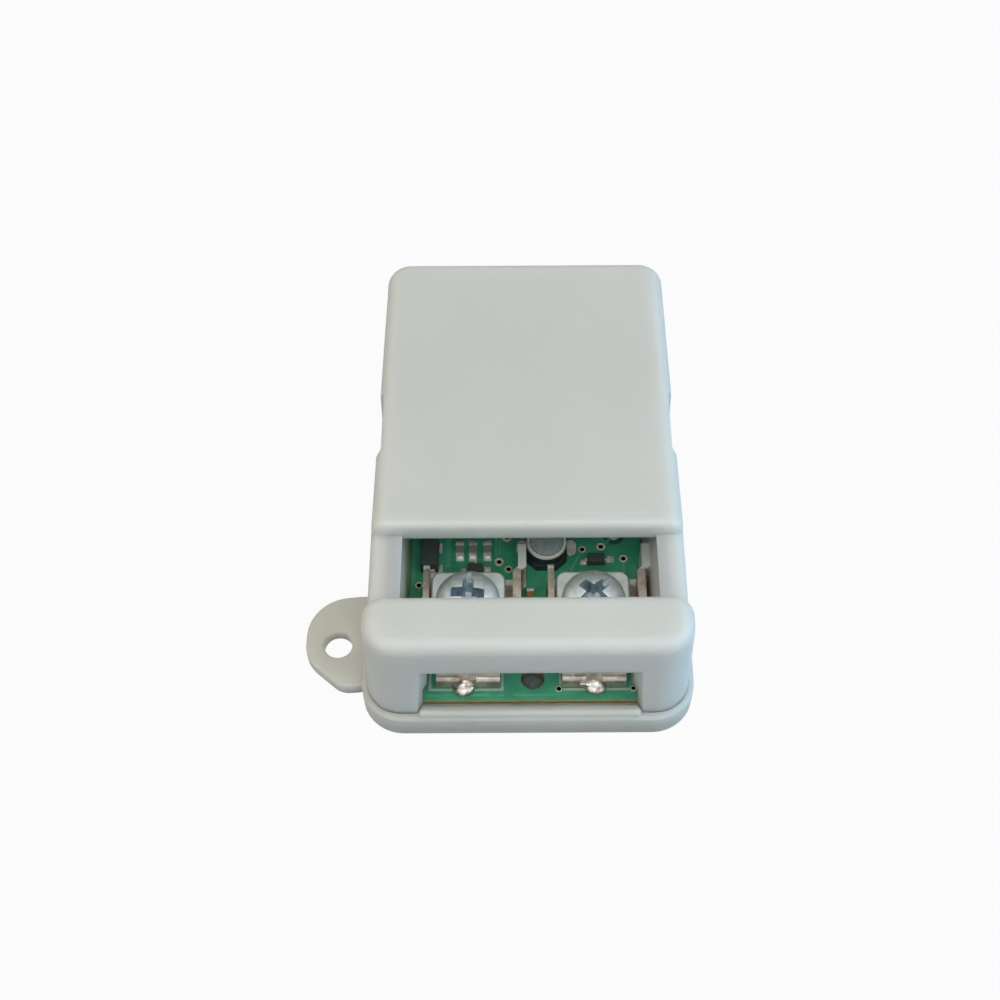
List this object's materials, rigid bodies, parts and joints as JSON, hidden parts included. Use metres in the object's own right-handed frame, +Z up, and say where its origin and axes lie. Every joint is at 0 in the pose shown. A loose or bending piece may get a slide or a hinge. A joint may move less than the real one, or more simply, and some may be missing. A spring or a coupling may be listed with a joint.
{
  "type": "relay output module",
  "caption": "Small boxed relay output module with a side fixing lug, screw clamp terminals seen through a top window and a wire entry window in front.",
  "frame": {"origin": "middle of the rectangular case's flat underside", "axes": "+Y from the terminal end to the back along the case, +Z up from the mounting surface, +X to the right"},
  "size_m": [0.0478, 0.0606, 0.0195],
  "materials": {
    "cover_plastic": "satin moulded natural polypropylene, slightly translucent",
    "base_plastic": "satin moulded natural polypropylene, slightly translucent",
    "solder_mask": "satin green solder mask on glass epoxy board",
    "tinned_brass": "tin plated sheet brass, slightly tarnished",
    "zinc_plate": "bright zinc plated pressed steel",
    "zinc_screw": "bright zinc plated cold headed steel",
    "solder": "hand soldered tin alloy, bright",
    "black_plastic": "moulded black plastic",
    "relay_plastic": "moulded black plastic relay cover",
    "bobbin_plastic": "moulded natural plastic",
    "copper_wire": "enamelled copper winding",
    "soft_iron": "nickel plated soft iron",
    "spring_bronze": "rolled spring bronze",
    "contact_silver": "silver alloy contact",
    "tinned_leads": "tin plated leads and end caps",
    "ferrite": "grey lacquered ferrite",
    "black_epoxy": "transfer moulded black epoxy",
    "resistor_film": "dark glaze over resistor film",
    "ceramic_brown": "fired brown ceramic",
    "aluminium_can": "drawn aluminium can",
    "nickel_lid": "nickel plated lid"
  },
  "bodies": {
    "case": {"base_tray": "base_plastic", "capacitor_base": "black_plastic", "capacitor_can": "aluminium_can", "ceramic_capacitor": "ceramic_brown", "ceramic_capacitor_ends": "tinned_leads", "chip_resistor_ends": "tinned_leads", "chip_resistors": "resistor_film", "circuit_board": "solder_mask", "controller_chip": "black_epoxy", "controller_chip_leads": "tinned_leads", "crystal": "nickel_lid", "driver_transistor": "black_epoxy", "driver_transistor_leads": "tinned_leads", "inductor_base": "black_plastic", "inductor_core": "ferrite", "left_terminal_bracket": "tinned_brass", "rectifier_diode": "black_epoxy", "rectifier_diode_tabs": "tinned_leads", "relay_base": "black_plastic", "relay_bobbin": "bobbin_plastic", "relay_case": "relay_plastic", "relay_coil": "copper_wire", "relay_core": "soft_iron", "relay_fixed_contact": "contact_silver", "relay_pins": "tinned_leads", "relay_yoke": "soft_iron", "right_terminal_bracket": "tinned_brass", "signal_diode": "black_epoxy", "signal_diode_leads": "tinned_leads", "terminal_solder": "solder", "top_cover": "cover_plastic"},
    "left_clamp": {"left_clamp_plate": "zinc_plate"},
    "left_screw": {"left_terminal_screw": "zinc_screw"},
    "right_clamp": {"right_clamp_plate": "zinc_plate"},
    "right_screw": {"right_terminal_screw": "zinc_screw"},
    "armature": {"relay_armature": "soft_iron", "relay_contact_spring": "spring_bronze", "relay_moving_contact": "contact_silver"}
  },
  "joints": [
    {"name": "left_clamp_lift", "type": "slide", "parent": "case", "child": "left_clamp", "axis": [0, 0, 1], "range_m": [-0.0021, 0.0007]},
    {"name": "left_screw_turn", "type": "hinge", "parent": "left_clamp", "child": "left_screw", "pos_m": [-0.0072, -0.0174, 0.0097], "axis": [0, 0, 1], "range_deg": [-1081, 361]},
    {"name": "right_clamp_lift", "type": "slide", "parent": "case", "child": "right_clamp", "axis": [0, 0, 1], "range_m": [-0.0021, 0.0007]},
    {"name": "right_screw_turn", "type": "hinge", "parent": "right_clamp", "child": "right_screw", "pos_m": [0.008, -0.0174, 0.0097], "axis": [0, 0, 1], "range_deg": [-1081, 361]},
    {"name": "armature_swing", "type": "hinge", "parent": "case", "child": "armature", "pos_m": [-0.0065, 0.0044, 0.0126], "axis": [1, 0, 0], "range_deg": [0, 6], "stiffness_Nm_per_rad": 0.0002, "springref_deg": -8.59}
  ],
  "couplings": [
    {"joint": "left_screw_turn", "follows": "left_clamp_lift", "rad_per_m": 8976},
    {"joint": "right_screw_turn", "follows": "right_clamp_lift", "rad_per_m": 8976}
  ]
}
